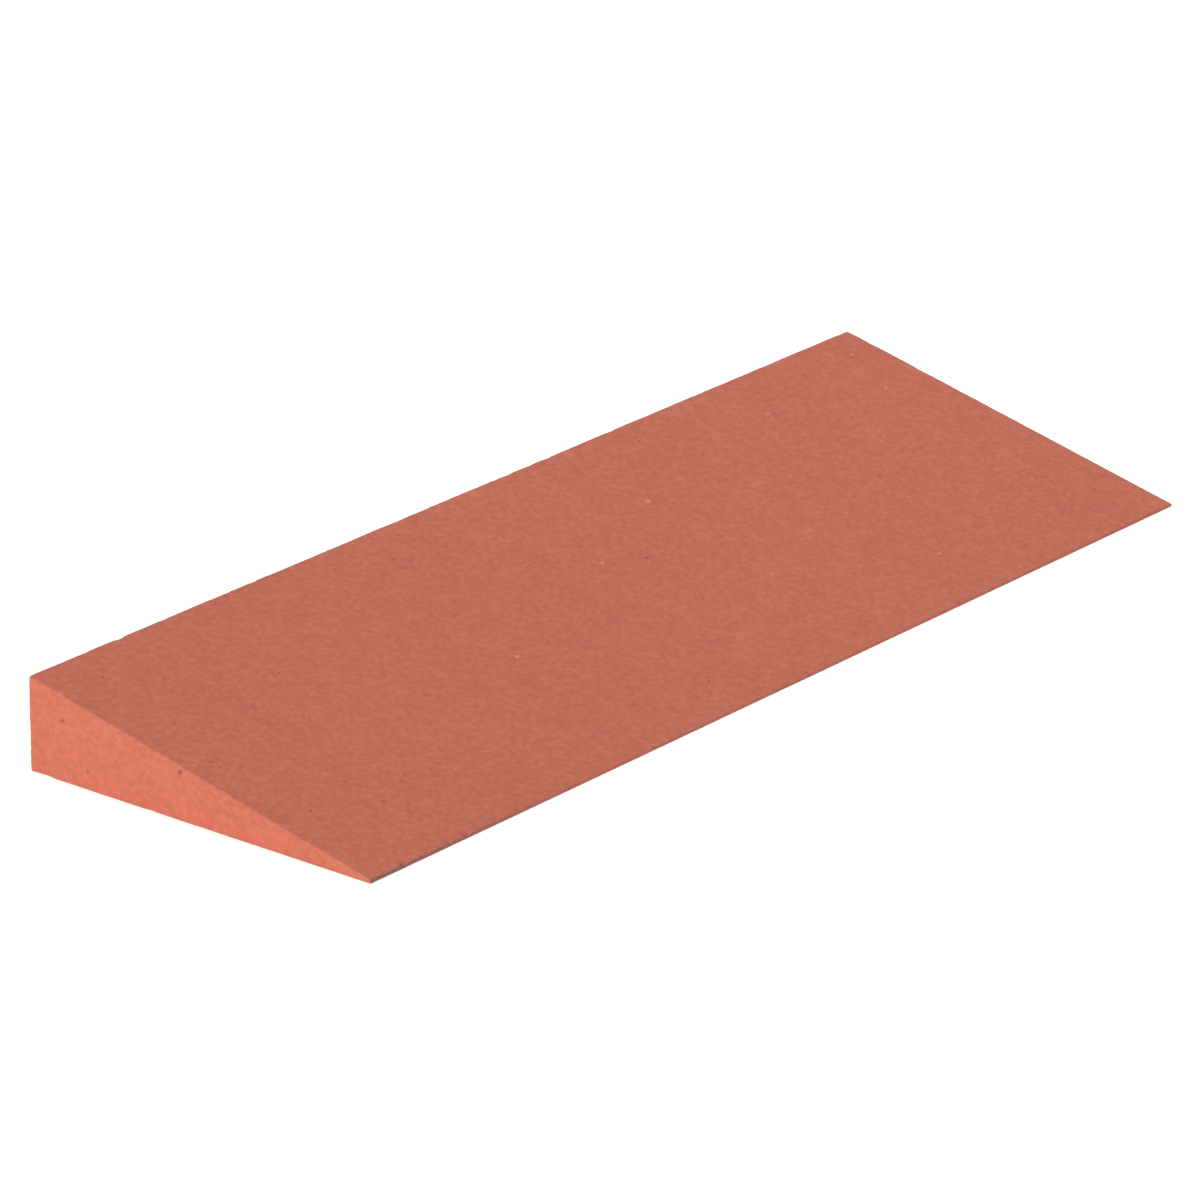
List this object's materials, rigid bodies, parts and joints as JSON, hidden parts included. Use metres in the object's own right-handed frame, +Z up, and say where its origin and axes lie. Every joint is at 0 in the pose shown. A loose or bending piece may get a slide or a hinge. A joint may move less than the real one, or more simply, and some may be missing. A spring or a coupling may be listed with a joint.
{
  "type": "slip stone",
  "caption": "Rigid tapered bar of fine orange-red bonded abrasive: a flat base, a plain sloping face, a thick square spine and one thin, almost sharp long edge.",
  "frame": {"origin": "middle of the base's rectangle, on the surface that the stone lies on", "axes": "+X along the length, +Y across it from the thin edge to the thick spine, +Z up from the base"},
  "size_m": [0.12, 0.04, 0.0092],
  "materials": {
    "bonded_abrasive": "matte"
  },
  "bodies": {
    "root": {"abrasive_wedge": "bonded_abrasive"}
  },
  "joints": []
}
